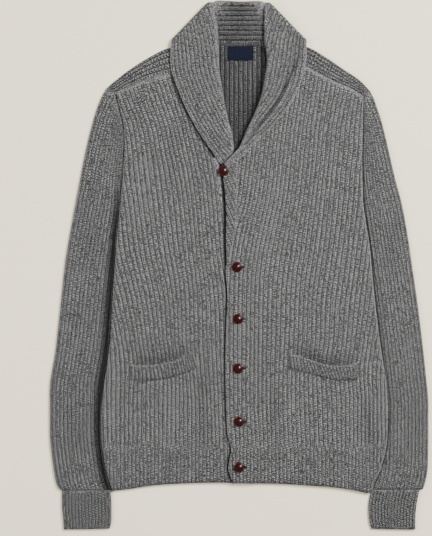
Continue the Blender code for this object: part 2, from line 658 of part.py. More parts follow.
def cut_buttonhole(front, name, across, height):
    """Cut a slit through a front where a button's shank passes."""
    length, width = BUTTONHOLE
    form = bmesh.new()
    bmesh.ops.create_cube(form, size=1)
    bmesh.ops.scale(form, verts=form.verts, vec=Vector((length, width, 20)) * MM)
    shift = length / 2 - SHANK_WIDTH / 2 - 1
    bmesh.ops.translate(form, verts=form.verts, vec=Vector((across + shift, height, 8)) * MM)
    mesh = bpy.data.meshes.new(name)
    form.to_mesh(mesh)
    form.free()
    cutter = bpy.data.objects.new(name, mesh)
    cutter.hide_render = True
    cutter.display_type = "WIRE"
    bpy.context.collection.objects.link(cutter)
    cut = front.modifiers.new(name, "BOOLEAN")
    cut.operation = "DIFFERENCE"
    cut.solver = "EXACT"
    cut.object = cutter


def make_buttons(left_front, material):
    """Six buttons: the first at the collar's end, the others in buttonholes."""
    seat = FRONT_LEVEL + LAP_LIFT + WALL + RIB_RISE + SEAM_GAP
    under_lap = FRONT_LEVEL + WALL + SEAM_GAP
    for count, (across, height) in enumerate(zip(BUTTONS["across"], BUTTONS["height"])):
        name = f"button_{count + 1}"
        if count == 0:
            make_button(name, across, height, seat, seat - SEAM_GAP / 2, material)
            continue
        make_button(name, across, height, seat, under_lap, material)
        cut_buttonhole(left_front, f"buttonhole_{count + 1}", across, height)


def make_label(material):
    """The bare woven label below the back neck, sewn flat on the ribs."""
    form = bmesh.new()
    bmesh.ops.create_cube(form, size=1)
    size = (LABEL["right"] - LABEL["left"], LABEL["top"] - LABEL["foot"], LABEL["thick"])
    middle = ((LABEL["right"] + LABEL["left"]) / 2, (LABEL["top"] + LABEL["foot"]) / 2,
              BACK_TOP + 0.8 + SEAM_GAP + LABEL["thick"] / 2)
    bmesh.ops.scale(form, verts=form.verts, vec=Vector(size) * MM)
    bmesh.ops.translate(form, verts=form.verts, vec=Vector(middle) * MM)
    return add_object("neck_label", form, material)


def main():
    for old in list(bpy.data.objects):
        bpy.data.objects.remove(old)
    knit = finish("grey marl rib knit", (0.19, 0.19, 0.192), 0.92)
    horn = finish("dark red brown button", (0.055, 0.014, 0.011), 0.22)
    woven = finish("navy woven label", (0.012, 0.017, 0.05), 0.7)

    make_back(knit)
    make_front("right_front", "right", RIGHT_RIBS[0] + 0.5, RIGHT_RIBS[-1] - 0.5, knit)
    left_front = make_front("left_front", "left", LEFT_RIBS[0], LEFT_RIBS[-1], knit)
    make_tube("right_sleeve", RIGHT_SLEEVE, 12, 14, 7.3, knit)
    make_tube("left_sleeve", LEFT_SLEEVE, 12, 14, 7.3, knit)
    make_tube("right_cuff", RIGHT_CUFF, 15, 3, 6.8, knit)
    make_tube("left_cuff", LEFT_CUFF, 15, 3, 6.8, knit)
    make_saddle("right_saddle", RIGHT_SADDLE, knit)
    make_saddle("left_saddle", LEFT_SADDLE, knit)
    make_collar(knit)
    make_collar_end("left_collar_end", LEFT_END, 2, FRONT_LEVEL, True, knit)
    make_collar_end("right_collar_end", RIGHT_END, 2, FRONT_LEVEL, False, knit)
    make_welt("right_pocket_welt", "right", RIGHT_WELT, knit)
    make_welt("left_pocket_welt", "left", LEFT_WELT, knit)
    make_buttons(left_front, horn)
    make_label(woven)


main()
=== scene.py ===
import math
from functools import partialmethod

import bmesh
import bpy
import numpy as np
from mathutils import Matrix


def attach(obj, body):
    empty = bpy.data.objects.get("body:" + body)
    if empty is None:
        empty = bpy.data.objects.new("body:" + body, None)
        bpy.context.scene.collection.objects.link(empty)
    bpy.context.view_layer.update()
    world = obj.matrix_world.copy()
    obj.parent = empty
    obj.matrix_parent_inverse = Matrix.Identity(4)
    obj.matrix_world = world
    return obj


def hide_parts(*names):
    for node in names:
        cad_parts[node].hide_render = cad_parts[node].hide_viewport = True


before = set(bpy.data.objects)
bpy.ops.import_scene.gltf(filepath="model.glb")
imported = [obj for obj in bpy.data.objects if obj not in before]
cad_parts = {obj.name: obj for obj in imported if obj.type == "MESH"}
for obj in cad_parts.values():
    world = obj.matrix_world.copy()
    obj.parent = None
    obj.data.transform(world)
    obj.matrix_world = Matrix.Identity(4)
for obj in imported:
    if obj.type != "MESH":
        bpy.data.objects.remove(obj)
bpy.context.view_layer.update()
print("frame loaded")

# Shader maths


def plug(tree, node, inputs):
    for name, value in inputs.items():
        if isinstance(value, Wire):
            tree.links.new(value.socket, node.inputs[name])
        else:
            node.inputs[name].default_value = value


class Wire:
    # one socket, so that the sums of a material read as plain sums
    def __init__(self, tree, socket=None):
        self.tree = tree
        self.socket = socket

    def node(self, kind, settings, inputs, output=0):
        made = self.tree.nodes.new(kind)
        for name, value in settings.items():
            setattr(made, name, value)
        plug(self.tree, made, inputs)
        return Wire(self.tree, made.outputs[output])

    def sum(self, operation, other=0.0):
        return self.node("ShaderNodeMath", {"operation": operation}, {0: self, 1: other})

    __add__ = __radd__ = partialmethod(sum, "ADD")
    __mul__ = __rmul__ = partialmethod(sum, "MULTIPLY")
    __sub__ = partialmethod(sum, "SUBTRACT")
    __pow__ = partialmethod(sum, "POWER")
    above = partialmethod(sum, "MAXIMUM")
    below = partialmethod(sum, "MINIMUM")
    swing = partialmethod(sum, "PINGPONG")

    def __rsub__(self, other):
        return self.node("ShaderNodeMath", {"operation": "SUBTRACT"}, {0: other, 1: self})

    def tint(self, one, two):
        return self.node("ShaderNodeMix", {"data_type": "RGBA"}, {0: self, 6: one, 7: two}, 2)

    def times(self, other):
        return self.node("ShaderNodeMix", {"data_type": "RGBA", "blend_type": "MULTIPLY"},
                         {0: 1.0, 6: self, 7: other}, 2)

    def ramp(self, *stops):
        made = self.node("ShaderNodeValToRGB", {}, {0: self})
        for element, (place, tone) in zip(made.socket.node.color_ramp.elements, stops):
            element.position = place
            element.color = tone
        return made

    def place(self):
        return self.node("ShaderNodeTexCoord", {}, {}, 3)

    def laid(self):
        return self.node("ShaderNodeUVMap", {"uv_map": "knit"}, {})

    def axis(self, number):
        return self.node("ShaderNodeSeparateXYZ", {}, {0: self}, number)

    def attribute(self, name):
        return self.node("ShaderNodeAttribute", {"attribute_name": name}, {}, 2)

    def noise(self, size, detail, rough=0.5, bent=0.0):
        return self.node("ShaderNodeTexNoise", {}, {
            "Vector": self, "Scale": size, "Detail": detail, "Roughness": rough,
            "Distortion": bent})

    def bump(self, strength, distance):
        return self.node("ShaderNodeBump", {}, {"Height": self, "Strength": strength,
                                                "Distance": distance})


def startMaterial(name):
    material = bpy.data.materials.new(name)
    material.use_nodes = True
    tree = material.node_tree
    return material, Wire(tree), tree.nodes["Principled BSDF"]


mm = 0.001
yarn = {
    "dark": (0.037, 0.038, 0.039, 1),
    "light": (0.376, 0.380, 0.385, 1),
    "fleckSize": 762,  # marl flecks to the metre
    "fibreSize": 1900,
    "cloudSize": 26,
    "furrowShade": 0.90,
    "middleShade": 0.42,
    "stitchShade": 0.86,
    "bump": 0.0015,
}
# a buttonhole's open end, painted as dark shade in the knit's colour: its reach beside the button, how
# fast the painted shade fades, and its dark core
slitShade = {"reach": 8.4, "wide": 0.042, "tall": 0.36, "core": 0.55, "edge": 1.4, "darkest": 0.04}


def knitMaterial(name, tone, slant=0.56, slits=()):
    material, start, shader = startMaterial(name)
    place, laid = start.place(), start.laid()
    across, along = laid.axis(0), laid.axis(1)
    ribbing, shade = start.attribute("ribbing"), start.attribute("shade")

    offCrest = across.swing(0.5) * 2  # 0 on a rib's crest, 1 in its furrow
    rib = (across + 0.5).sum("FLOOR")
    dropped = along + rib * 0.5  # neighbouring ribs are half a stitch apart
    course = dropped + offCrest * slant
    between = course.swing(0.5) * 2  # 0 on a stitch's leg, 1 between two legs
    legs = 1 - between * between
    fromMiddle = across - rib + 0.08
    middle = (1 - fromMiddle.above(0 - fromMiddle) * 6).above(0)
    purl = 1 - (dropped + 0.5).swing(0.5) * 2
    fleck = place.noise(yarn["fleckSize"], 0.0)
    fibre = place.noise(yarn["fibreSize"], 2.0, 0.7)
    cloud = place.noise(yarn["cloudSize"], 3.0, 0.6)
    marl = (fleck * 0.95 + fibre * 0.05).ramp((0.42, (0, 0, 0, 1)), (0.58, (1, 1, 1, 1)))
    colour = marl.tint(yarn["dark"], yarn["light"])
    # painted shade: the colour darkens in each rib's furrow, in the dip along its middle and between
    # the stitches' legs
    furrow = ribbing * yarn["furrowShade"] * offCrest ** 2.4 * (0.85 + 0.15 * purl)
    deep = (1 - furrow) * (1 - ribbing * yarn["middleShade"] * middle)
    betweenLegsShade = 1 - yarn["stitchShade"] * (0.5 + 0.5 * ribbing) * between
    # the yarn's random cloudy tone, multiplied below by the buttonholes' painted shade
    cloudAndSlitShade = 0.92 + cloud * 0.16
    # painted shade: each buttonhole's open end is darkened in the colour
    for across0, height0 in slits:
        fromX = place.axis(0) * 1000 - (across0 + slitShade["reach"])
        fromY = place.axis(1) * 1000 - height0
        away = fromX * fromX * slitShade["wide"] + fromY * fromY * slitShade["tall"]
        cloudAndSlitShade = cloudAndSlitShade * ((away - slitShade["core"]) * slitShade["edge"]).above(slitShade["darkest"]).below(1)
    # the shade attribute multiplies in the painted shade that each piece lays on its vertices
    colour = colour.times(deep * betweenLegsShade * cloudAndSlitShade * shade * tone)
    relief = ribbing * (legs * (1 - offCrest ** 4) * 0.55 - middle * 0.25 + purl * offCrest ** 4 * 0.3)
    relief = relief + fibre * 0.12 + fleck * 0.12
    plug(start.tree, shader, {
        "Base Color": colour, "Roughness": 0.86 + fleck * 0.14, "Sheen Weight": 0.03,
        "Sheen Roughness": 0.6, "Specular IOR Level": 0.1, "Normal": relief.bump(0.8, yarn["bump"])})
    return material


# the tones give darker copies of the one yarn: painted shade on the collar, the sleeves and the cuffs
knitBody = knitMaterial("marl rib knit", 1.0)
knitCollar = knitMaterial("marl rib knit of the collar", 0.965)
knitSleeve = knitMaterial("marl rib knit of the sleeves", 0.905, slant=0.59)
knitFine = knitMaterial("marl fine rib", 0.80, slant=0.64)
knitWelt = knitMaterial("marl rib knit of the welts", 1.0, slant=0.72)
print("knit materials made")

# Smooth courses and the knitted sheets


def blend(low, high, lowSlope, highSlope, span, t):
    return (low * (1 + 2 * t) * (1 - t) ** 2 + lowSlope * span * t * (1 - t) ** 2
            + high * t * t * (3 - 2 * t) - highSlope * span * t * t * (1 - t))


class Course:
    # a table of rows read as smooth curves; counted rows are their own knots
    def __init__(self, rows, counted=False):
        rows = np.array(rows, float)
        self.knots = np.arange(len(rows), dtype=float) if counted else rows[:, 0]
        self.values = rows if counted else rows[:, 1:]
        steps = np.diff(self.values, axis=0) / np.diff(self.knots)[:, None]
        limit = 2 * np.minimum(abs(steps[1:]), abs(steps[:-1]))
        inner = np.clip((steps[1:] + steps[:-1]) / 2, -limit, limit)
        self.slopes = np.vstack((steps[:1], inner, steps[-1:]))

    def __call__(self, place):
        place = np.clip(np.asarray(place, float), self.knots[0], self.knots[-1])
        row = np.clip(np.searchsorted(self.knots, place) - 1, 0, len(self.knots) - 2)
        span = (self.knots[row + 1] - self.knots[row])[..., None]
        t = (place - self.knots[row])[..., None] / span
        return blend(self.values[row], self.values[row + 1], self.slopes[row],
                     self.slopes[row + 1], span, t)

    def one(self, place, column=0):
        return self(place)[..., column]


def ease(low, high, value):
    t = np.clip((value - low) / (high - low), 0, 1)
    return t * t * (3 - 2 * t)


def inEnds(part, reach):
    return ease(0, reach, part) * ease(0, reach, 1 - part)


def dimmed(*darks):
    return math.prod(1 - dark for dark in darks)


def lengthOf(ways):
    return np.linalg.norm(ways, axis=1)


def ribForm(number):
    # 1 on a rib's crest, at whole numbers, and 0 in its furrow
    off = abs((number + 0.5) % 1.0 - 0.5) * 2
    return 1 - off ** 2.0 - 0.1 * np.exp(-(off / 0.3) ** 2)


def creaseForm(across, height, creases):
    # ridges and troughs: both ends, width and rise in millimetres
    total = np.zeros(np.shape(across))
    for startX, startY, endX, endY, width, rise in creases:
        wayX, wayY = endX - startX, endY - startY
        length = math.hypot(wayX, wayY)
        part = ((across - startX) * wayX + (height - startY) * wayY) / length ** 2
        off = ((across - startX) * wayY - (height - startY) * wayX) / length
        ends = ease(-0.12, 0.22, part) * (1 - ease(0.78, 1.12, part))
        total = total + rise * ends * np.exp(-(off / width) ** 2)
    return total


def flat(across, height, level):
    return np.column_stack((across, height, np.broadcast_to(level, across.shape)))


def link(name, data):
    made = bpy.data.objects.new(name, data)
    bpy.context.collection.objects.link(made)
    return made


def makePiece(name, form, material):
    mesh = bpy.data.meshes.new(name)
    form.to_mesh(mesh)
    form.free()
    mesh.materials.append(material)
    mesh.shade_smooth()
    return link(name, mesh)


def layKnit(name, columns, rows, base, detail, wall, material, upAt=None, closed=False):
    # a grid is laid on a base form, raised by its ribs and given its wall
    form = bmesh.new()
    bmesh.ops.create_grid(form, x_segments=columns, y_segments=rows, size=0.5)
    s, t = (np.array([vert.co[:2] for vert in form.verts]) + 0.5).T
    centre = base(s, t)
    facing, turned = np.array((0, 0, 1.0)), False
    if upAt is not None:
        stepS, stepT = 0.4 / columns, 0.4 / rows

        def look(s, t):
            low, high = (s - stepS, s + stepS) if closed else (np.maximum(s - stepS, 0),
                                                               np.minimum(s + stepS, 1))
            acrossWay = base(high, t) - base(low, t)
            alongWay = base(s, np.minimum(t + stepT, 1)) - base(s, np.maximum(t - stepT, 0))
            way = np.cross(acrossWay, alongWay)
            return way / np.maximum(lengthOf(way), 1e-9)[:, None]

        turned = look(*np.array(upAt)[:, None])[0, 2] < 0
        facing = look(s, t) * (-1 if turned else 1)
    height, *knit = detail(s, t, centre)
    placed = (centre + facing * np.broadcast_to(height, s.shape)[:, None]) * mm
    number, stitch, ribbing, shade = [np.broadcast_to(value, s.shape) for value in knit]
    ribLayer = form.verts.layers.float.new("ribbing")
    shadeLayer = form.verts.layers.float.new("shade")
    for count, vert in enumerate(form.verts):
        vert.co = placed[count]
        vert[ribLayer] = ribbing[count]
        vert[shadeLayer] = shade[count]
    form.verts.index_update()
    laid = form.loops.layers.uv.new("knit")
    for face in form.faces:
        for loop in face.loops:
            loop[laid].uv = (number[loop.vert.index], stitch[loop.vert.index])
    bmesh.ops.remove_doubles(form, verts=form.verts, dist=0.00003)
    bmesh.ops.dissolve_degenerate(form, edges=form.edges, dist=0.00002)
    if turned:
        bmesh.ops.reverse_faces(form, faces=form.faces)
    piece = makePiece(name, form, material)
    thick = piece.modifiers.new("wall", "SOLIDIFY")
    thick.thickness = wall * mm
    thick.offset = -1
    thick.use_rim = True
    return piece


def dress(piece, node):
    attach(piece, "root")
    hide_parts(node)
    return piece


# Fronts

body = Course((
    (-361, -202, 210), (-338, -210, 221), (-306, -217, 232), (-265, -221, 238),
    (-214, -219, 238), (-121, -207, 226), (-38, -202, 216), (44, -196, 208),
    (98, -191, 199), (164, -185, 197.5), (217, -183.7, 198.2), (258, -192.6, 199.2),
    (281, -197.6, 199.5)))
hem = Course((
    (-218, -361), (-174, -356), (-142, -351), (-102, -348), (-38, -346), (2, -347),
    (66, -348), (114, -351), (154, -354), (181, -358), (211, -364)))
shoulder = Course((
    (-200, 277), (-190, 282), (-167, 292), (-142, 301), (-112, 307.5), (-94, 312),
    (94, 322), (109, 319), (139, 303.5), (163, 292.5), (182, 284), (200, 273)))
leftEdge = Course((
    (-358, -5), (-335, -13), (-322, -16), (-310, -14), (-295, -11), (-284, -12),
    (-272, -16), (-250, -18), (-160, -20), (-102, -19), (-42, -17), (-4, -19.5),
    (14, -16), (42, -11), (74, -6), (106, -5), (138, -5), (172, -3)))
leftNeck = Course((
    (170, -3), (183, 3), (198, 18), (220, 40), (250, 67), (282, 88), (322, 99)))
rightNeck = Course((
    (-5, 6), (26, -12), (66, -23.5), (98, -29.4), (110, -31.5), (150, -36.4), (186, -42.2),
    (204, -45.9), (222, -51), (241, -62), (279, -83), (320, -96)))
leftEnd = Course((
    (4, -18.9, -19.6), (42, -13.5, -20.8), (74, -9, -20.6), (106, -7.5, -21.6),
    (138, -7, -24.6), (164, -6, -27), (174, -3, -21), (182, 3, -10)))
rightEnd = Course((
    (4, 1.8, 6.6), (26, -10.5, 3.5), (66, -22, 0), (98, -28, -2.3), (130, -33, -6),
    (160, -36.5, -14), (174, -39, -14)))
lapelFoot = Course((
    (150, -19), (162, -27), (181, -41), (204, -57), (241, -79), (279, -96), (318, -109)))
rightWelt = Course((
    (-175, -157, -176, -183), (-152, -158.5, -150, -183.5), (-128, -156, -123, -181),
    (-106, -151, -101, -176), (-88, -143, -82, -169), (-73, -134, -66, -160)))
leftWelt = Course((
    (78, -140, 80, -165), (98, -143.5, 103, -170), (117, -150, 126, -176),
    (137, -156, 146, -181), (158, -158.5, 165, -183), (179, -157, 181, -183),
    (194, -151, 191, -181)))
buttonPlaces = ((-24.8, 153), (-3.4, -1), (-1.6, -84), (-1.6, -163), (0, -248), (0.3, -321))
knitLapped = knitMaterial("marl rib knit with buttonholes", 1.0, slits=buttonPlaces[1:])

rightFront = {
    "first": -5.5, "last": 31.0, "edge": 0, "perRib": 9, "rows": 96,
    "numbers": (-6, 0, 6, 12, 18, 24, 30),
    "run": Course((
        (-350, -225, -187, -146, -107, -66, -27, 12),
        (-294, -226, -187, -146, -106, -66, -28, 11),
        (-214, -230, -187, -146, -105, -67, -30, 9),
        (-166, -231, -186, -145, -106, -71, -32, 7),
        (-118, -233, -191, -151, -112, -75, -34, 6),
        (-54, -250, -206, -160, -116, -76, -36, 4),
        (26, -272, -226, -179, -131, -85, -46, -6),
        (106, -278, -232, -188, -142, -93, -53, -13),
        (146, -281, -236, -195, -147, -99, -58, -17),
        (186, -286, -241, -197, -152, -108, -66, -24),
        (226, -292, -247, -203, -159, -116, -76, -35),
        (266, -305, -262, -218, -174, -130, -87, -46),
        (346, -330, -287, -243, -199, -155, -112, -70))),
    "creases": (
        (-59, -150, -61, -296, 10, -1.2), (-36, -200, -34, -300, 12, 0.8),
        (-110, -200, -116, -300, 16, 0.7), (-196, -140, -206, -280, 9, 0.9),
        (-170, 60, -150, 180, 14, 0.9), (-120, 120, -96, 240, 12, -0.7)),
}
leftFront = {
    "first": -3.8, "last": 37.5, "edge": 1, "perRib": 9, "rows": 96,
    "numbers": (-4, 2, 8, 14, 20, 26, 32, 38),
    "run": Course((
        (-350, -35, 5, 43, 84, 126, 167, 206, 246),
        (-294, -34, 5, 43, 83, 125, 167, 205, 245),
        (-214, -38, 1, 40, 80, 122, 167, 205, 243),
        (-166, -38, 1, 40, 81, 121, 163, 203, 243),
        (-118, -40, 1, 41, 84, 126, 169, 210, 251),
        (-54, -40, 2, 42, 86, 128, 174, 221, 264),
        (-14, -38, 3, 44, 89, 133, 180, 225, 270),
        (26, -34, 8, 50, 95, 139, 185, 230, 276),
        (66, -26, 16, 58, 100, 144, 190, 235, 281),
        (106, -12, 26, 66, 106, 148, 195, 240, 286),
        (146, -8, 32, 71, 111, 152, 197, 242, 287),
        (186, -3, 37, 75, 115, 156, 202, 246, 291),
        (226, 2, 42, 80, 119, 160, 204, 249, 294),
        (266, 6, 46, 86, 125, 168, 207, 252, 297),
        (346, 10, 52, 95, 138, 183, 224, 270, 315))),
    "creases": (
        (56, -200, 57, -292, 8, -1.2), (86, -205, 88, -294, 13, 1.2),
        (178, -205, 180, -294, 14, 1.2), (202, -210, 214, -294, 10, -1.2),
        (232, -112, 230, -290, 9, 1), (36, 20, 70, 150, 14, 0.8)),
}
cloth = {
    "low": -350, "tall": 650,  # a first guess of each point's height
    "level": 5.8, "rib": 1.8, "wall": 1.8, "stitch": 3.8, "seam": 0.3, "pocket": 1.7,
    "lap": 2.7, "lapClimb": (14.0, 40.0), "lapTop": 174,
    "hemLine": -290, "hemPitch": 1.12, "hemRow": 9, "hemGap": 0.0006,
    "hemReach": (0.086, 0.1125),
}
# strengths and places of the painted shade on the fronts
frontShade = {
    "seam": 0.12, "hem": 0.11, "crease": 0.11, "mouth": 0.46,
    "lap": 0.96, "lapTop": 150, "lapFrom": 1.5, "lapWidth": 3.7,
    "lapel": 0.8, "lapelFrom": 1.0, "lapelWidth": 5.0, "lapelFoot": (158, 168),
    "side": 0.3, "sideTop": (185, 225),
}


def ribStand(front, number, height):
    numbers = np.array(front["numbers"], float)
    stands = front["run"](height)
    slopes = np.gradient(stands, numbers, axis=-1)
    row = np.clip(np.searchsorted(numbers, number) - 1, 0, len(numbers) - 2)
    span = numbers[row + 1] - numbers[row]
    part = (number - numbers[row]) / span

    def pick(values, column):
        return np.take_along_axis(values, column[:, None], 1)[:, 0]

    return blend(pick(stands, row), pick(stands, row + 1), pick(slopes, row),
                 pick(slopes, row + 1), span, part)


def frontNumber(front, s):
    return front["first"] + (front["last"] - front["first"]) * s


def frontPlace(front, s, t):
    seam, gap = cloth["seam"], cloth["hemGap"]
    height = cloth["low"] + cloth["tall"] * t
    for _ in range(9):
        across = ribStand(front, frontNumber(front, s), height)
        border = body.one(height, front["edge"])
        if front["edge"]:
            edge = np.where(height < cloth["lapTop"], leftEdge.one(height), -99)
            across = np.clip(across, edge, border)
            besideNeck = np.maximum(across, leftNeck.one(height) + seam)
            across = np.where(height > leftNeck.knots[0], besideNeck, across)
        else:
            across = np.maximum(across, border)
            besideNeck = np.minimum(across, rightNeck.one(height) - seam)
            across = np.where(height > rightNeck.knots[0], besideNeck, across)
        foot = hem.one(across)
        tall = shoulder.one(across) - seam - foot
        # two rows lie close together where the hem's rib begins
        line = np.clip((cloth["hemLine"] - foot) / tall, *cloth["hemReach"])
        row = np.round(t * front["rows"]) - cloth["hemRow"]
        placed = np.where(row == 0, line - gap, np.where(row == 1, line + gap, t))
        height = foot + tall * placed
    return across, height


def openingEdge(height):
    return np.where(height > leftEnd.knots[0], leftEnd.one(height, 1), leftEdge.one(height))


def lapLift(across):
    return cloth["lap"] * (1 - ease(*cloth["lapClimb"], across))


def pocketSag(across, height, welt):
    first, last = welt.knots[0], welt.knots[-1]
    middle = np.sin(math.pi * np.clip((across - first) / (last - first), 0, 1))
    above = height - welt.one(across)
    return cloth["pocket"] * middle ** 0.7 * ease(-9, 0, above) * (1 - ease(2, 26, above))


def lapShadow(gap):
    return np.exp(-((gap + frontShade["lapFrom"]) / frontShade["lapWidth"]) ** 4)


def makeFront(name, front, node):
    isLeft = front["edge"] == 1
    welt = leftWelt if isLeft else rightWelt

    def base(s, t):
        across, height = frontPlace(front, s, t)
        return flat(across, height, cloth["level"])

    def detail(s, t, centre):
        across, height = centre[:, 0], centre[:, 1]
        fromSide = abs(body.one(height, front["edge"]) - across)
        fromHem = height - cloth["hemLine"]
        inHem = 1 - ease(-4, 4, fromHem)
        number = frontNumber(front, s) * np.where(inHem > 0.5, cloth["hemPitch"], 1)
        strength = ease(0, 3, fromSide)
        level = -1.3 * np.clip(1 - fromSide / 6, 0, 1) ** 2
        if isLeft:
            seamEase = 1
            fromNeck = np.where(height > leftNeck.knots[0], across - leftNeck.one(height), 20)
            fromEdge = across - leftEdge.one(height)
            freeEdge = np.where(height < 2, fromEdge, 20)
            level = level + lapLift(across) - 1.1 * np.clip(1 - freeEdge / 4, 0, 1) ** 2
            joined = ease(0, 8, height) * (1 - ease(166, 172, height))
            strength = strength * (1 - joined * (1 - ease(0, 3, fromEdge)))
        else:
            seamEase = ease(150, 175, height)
            fromNeck = np.where(height > rightNeck.knots[0], rightNeck.one(height) - across, 20)
            lapGap = across - openingEdge(height)
            strength = strength * (1 - ease(-7, -1, lapGap))
        strength = strength * (1 - seamEase * (1 - ease(0.3, 3.5, fromNeck)))
        strength = strength * ease(0, 5, shoulder.one(across) - height)
        sag = pocketSag(across, height, welt)
        crease = creaseForm(across, height, front["creases"]) * ease(0, 14, fromSide)
        level = level - 0.7 * seamEase * (1 - ease(0, 4, fromNeck)) - sag + crease
        seamLine = np.exp(-(fromHem / 3.0) ** 2)
        strength = strength * (1 - 0.08 * inHem) * (1 - 0.1 * seamLine)
        level = level - 0.15 * seamLine

        # darker by the neck seam and in the hem; painted shade in the pocket mouths, and on the right
        # front under the lap's edge, beside the lapel's free edge and by the side; the creases get
        # painted shade in their troughs and painted light on their ridges
        shade = dimmed(frontShade["seam"] * seamEase * (1 - ease(0, 3, fromNeck)),
                       frontShade["hem"] * inHem, -frontShade["crease"] * crease,
                       frontShade["mouth"] * sag / cloth["pocket"])
        if not isLeft:
            belowLap = lapShadow(lapGap) * (height < frontShade["lapTop"])
            fromLapel = across - lapelFoot.one(height) + frontShade["lapelFrom"]
            belowLapel = np.exp(-(fromLapel / frontShade["lapelWidth"]) ** 2)
            belowLapel = belowLapel * ease(*frontShade["lapelFoot"], height)
            bySide = (1 - ease(*frontShade["sideTop"], height)) * (1 - ease(0, 3, fromSide))
            shade = shade * dimmed(frontShade["lap"] * belowLap,
                                   frontShade["lapel"] * belowLapel, frontShade["side"] * bySide)
        lift = level + cloth["rib"] * ribForm(number) * strength
        return lift, number, height / cloth["stitch"], strength, shade

    columns = round((front["last"] - front["first"]) * front["perRib"])
    piece = layKnit(name, columns, front["rows"], base, detail, cloth["wall"],
                    knitLapped if isLeft else knitBody)
    return dress(piece, node)


rightFrontPiece = makeFront("front_right", rightFront, "right_front")
leftFrontPiece = makeFront("front_left", leftFront, "left_front")
print("fronts laid")

# Back

backPanel = {
    "first": -226.0, "last": 243.0, "middle": 3, "tuck": 3.0,
    "pitch": 7.4, "perRib": 8, "rows": 92, "rib": 0.9, "level": 2.1, "wall": 1.4,
    "neck": (90, 200), "neckSides": (90, 110),
}
backNeck = Course((
    (-198, 277), (-186, 283.5), (-167, 291.5), (-142, 300.5), (-112, 306), (-97, 309),
    (-91, 326), (-85.5, 343), (-76, 352.6), (-58, 356.4), (2, 357.6), (61, 356.4), (77, 352.6),
    (87, 343), (94, 326), (100, 315), (112, 313.5), (139, 302.5), (163, 291.5), (182, 283),
    (198, 273)))


def backNumber(across):
    return (across - backPanel["middle"]) / backPanel["pitch"]


def makeBack():
    first, wide = backPanel["first"], backPanel["last"] - backPanel["first"]

    def base(s, t):
        across = first + wide * s
        height = cloth["low"] + cloth["tall"] * t
        for _ in range(6):
            kept = np.clip(across, body.one(height, 0) - backPanel["tuck"],
                           body.one(height, 1) + backPanel["tuck"])
            foot = hem.one(kept) + 0.5
            height = foot + (backNeck.one(kept) - cloth["seam"] - foot) * t
        return flat(kept, height, backPanel["level"])

    def detail(s, t, centre):
        across, height = centre[:, 0], centre[:, 1]
        number = backNumber(across)
        fromSide = np.minimum(across - body.one(height, 0), body.one(height, 1) - across)
        inNeck = ease(*backPanel["neck"], height)
        strength = ease(1, 7, fromSide) * (1 + 0.16 * inNeck)
        lift = backPanel["rib"] * ribForm(number) * strength - 0.5 * (1 - ease(-2, 2, fromSide))
        inside = inNeck * (1 - ease(*backPanel["neckSides"], abs(across)))
        # painted shade: dark in the gap beside the sleeves, most where across is negative, and inside
        # the neck, deepest towards the wearer's left and lower down, under the collar's roll
        dark = np.where(across > 0, 0.9, 0.12 + 0.6 * ease(190, 225, height))
        dim = dark + (1 - dark) * ease(0, 3, fromSide)
        away = ease(-30, 38, across) * (1 - ease(190, 330, height))
        shade = dim * (0.94 - 0.34 * inside) * (1 - 0.54 * away * inside)
        return lift, number, height / cloth["stitch"], strength, shade

    columns = round(wide / backPanel["pitch"] * backPanel["perRib"])
    piece = layKnit("back_panel", columns, backPanel["rows"], base, detail, backPanel["wall"],
                    knitBody)
    return dress(piece, "back")


backPiece = makeBack()
print("back laid")

# Sleeves and cuffs

sleeves = {
    "right": {"rings": Course((
        (-215.1, 282.7, -198.6, 278.2, -184.8, 217), (-225, 260, -208, 247, -185, 193),
        (-235, 228, -216, 214, -186, 164), (-246, 183, -226, 170, -189, 126),
        (-258, 122, -235, 113, -193, 87), (-267, 74, -245, 70, -197, 42),
        (-278, 10, -256, 9, -200.4, -6), (-286, -62, -262, -62, -204.6, -66),
        (-294, -134, -269, -134, -209.4, -134), (-303.5, -201, -277, -201, -218, -198),
        (-303.5, -262, -278, -262, -221.8, -258), (-299, -313, -277, -313, -218, -306),
        (-293, -348, -270, -348, -209.3, -346), (-286, -359, -266, -359, -205, -358)), True),
        "cut": (0.176, 0.640), "area": 0.0939, "ribs": 26, "pitch": 6.35,
        "sink": 0.6, "crevice": 0.92,
        "creases": ((-268, 120, -232, 20, 12, -0.9), (-290, -60, -262, -150, 12, 0.8),
                    (-284, -210, -252, -300, 12, -0.8), (-262, 60, -250, -60, 9, 0.7))},
    "left": {"rings": Course((
        (214.1, 276.7, 200.1, 273.7, 199.6, 217), (228, 236, 215, 228, 199, 186),
        (239, 192, 222, 184, 198.9, 151), (250, 144, 230, 138, 200, 110),
        (262, 98, 241, 95, 204.2, 71), (272, 42, 249, 39, 211.4, 23),
        (279, -6, 255, -7, 215.8, -22), (286, -54, 262, -54, 220.4, -66),
        (294, -118, 268, -118, 227.9, -126), (300, -174, 276, -174, 234.7, -178),
        (304, -222, 281, -222, 239.6, -226), (304, -270, 281, -270, 238.6, -274),
        (303, -322, 279, -322, 229.6, -319), (296, -357, 272, -357, 213.5, -357)), True),
        "cut": (0.176, 0.632), "area": 0.0749, "ribs": 22, "pitch": 6.0,
        "sink": 0.15, "crevice": 0.14,
        "creases": ((258, 90, 236, -10, 12, -0.9), (290, -70, 262, -160, 12, 0.8),
                    (292, -220, 268, -310, 12, -0.8), (262, 20, 258, -80, 9, 0.7))},
}
cuffForm = {"ribs": 30, "pitch": 0, "sink": 0, "crevice": 0, "creases": ()}
